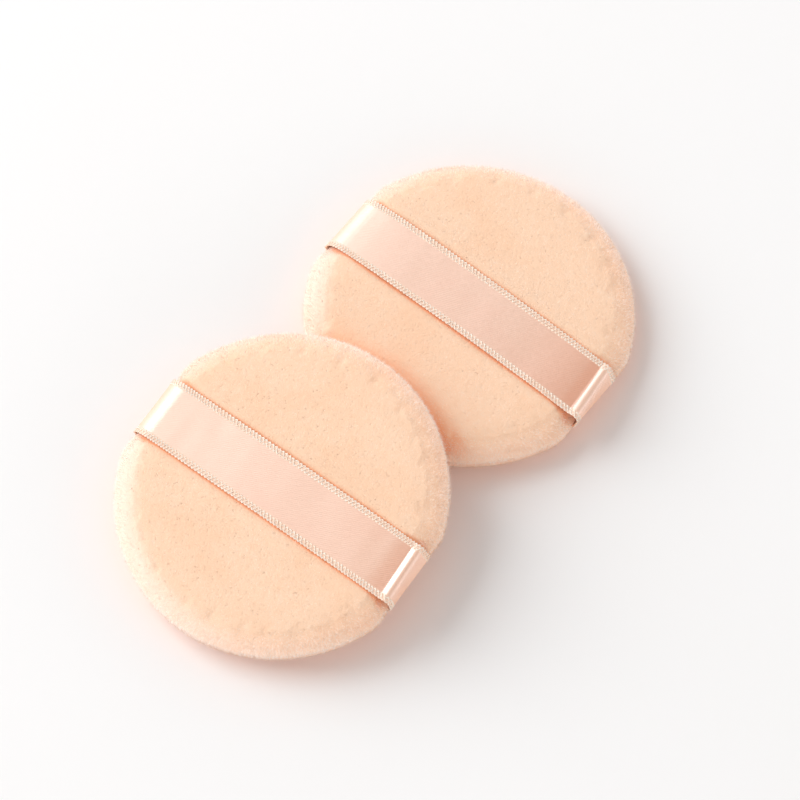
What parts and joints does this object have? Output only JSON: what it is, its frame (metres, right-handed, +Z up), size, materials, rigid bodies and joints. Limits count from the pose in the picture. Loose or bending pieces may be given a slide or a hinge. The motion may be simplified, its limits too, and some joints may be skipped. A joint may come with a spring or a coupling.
{
  "type": "powder puff",
  "caption": "Round velour powder puffs with satin ribbon straps, one lying flat and the other leaning on its rim; velour covers, sponge core, ribbon caught in the rim seam.",
  "frame": {"origin": "middle of the flat puff's resting face, on the surface that the pair lies on", "axes": "+Z up from the surface, +X from the leaning puff's centre towards the flat puff's centre, +Y to the left of that"},
  "size_m": [0.11, 0.0582, 0.0171],
  "materials": {
    "velour": "matte",
    "satin_ribbon": "satin",
    "sponge": "matte",
    "sewing_thread": "satin"
  },
  "bodies": {
    "rear_puff": {"rear_foam_core": "sponge", "rear_powder_cover": "velour", "rear_face_cover": "velour", "rear_needle_thread": "sewing_thread", "rear_bobbin_thread": "sewing_thread", "rear_closing_thread": "sewing_thread"},
    "rear_strap": {"rear_ribbon": "satin_ribbon"},
    "front_puff": {"front_foam_core": "sponge", "front_powder_cover": "velour", "front_face_cover": "velour", "front_needle_thread": "sewing_thread", "front_bobbin_thread": "sewing_thread", "front_closing_thread": "sewing_thread"},
    "front_strap": {"front_ribbon": "satin_ribbon"}
  },
  "joints": [
    {"name": "front_puff_lift", "type": "slide", "parent": "rear_puff", "child": "front_puff", "axis": [0, 0, 1], "range_m": [0, 0.05]},
    {"name": "rear_strap_lift", "type": "slide", "parent": "rear_puff", "child": "rear_strap", "axis": [0, 0, 1], "range_m": [0, 0.007], "deforming": ["rear_ribbon"]},
    {"name": "front_strap_lift", "type": "slide", "parent": "front_puff", "child": "front_strap", "axis": [-0.1718, 0, 0.9851], "range_m": [0, 0.007], "deforming": ["front_ribbon"]}
  ]
}
